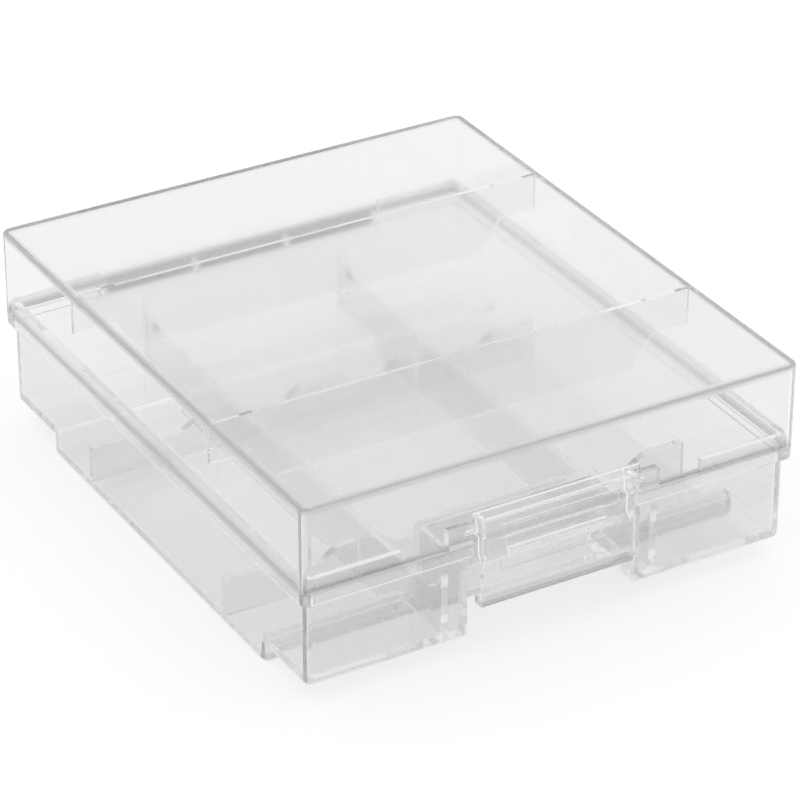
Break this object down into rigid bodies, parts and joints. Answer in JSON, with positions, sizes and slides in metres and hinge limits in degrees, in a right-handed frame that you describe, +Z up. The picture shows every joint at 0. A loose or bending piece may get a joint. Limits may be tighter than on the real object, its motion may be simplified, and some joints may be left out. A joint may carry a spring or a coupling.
{
  "type": "battery box",
  "caption": "Frosted plastic box with scooped battery compartments on a stepped floor, a clear hinged lid with hanging ribs, and a clear snap latch.",
  "frame": {"origin": "under the middle of the box, on the plane that the deep part of the base stands on", "axes": "+X to the right along both hinge axes, -Y towards the front with the latch, +Z up"},
  "size_m": [0.2, 0.2372, 0.08],
  "materials": {
    "frosted_plastic": "frosted, see-through",
    "clear_plastic": "clear, polished",
    "latch_plastic": "clear, polished"
  },
  "bodies": {
    "base": {"base": "frosted_plastic"},
    "lid": {"lid": "clear_plastic"},
    "latch": {"latch": "latch_plastic"}
  },
  "joints": [
    {"name": "lid_hinge", "type": "hinge", "parent": "base", "child": "lid", "pos_m": [0, 0.11645, 0.0433], "axis": [-1, 0, 0], "range_deg": [0, 110]},
    {"name": "latch_pivot", "type": "hinge", "parent": "lid", "child": "latch", "pos_m": [0, -0.1141, 0.0506], "axis": [-1, 0, 0], "range_deg": [0, 100]}
  ]
}
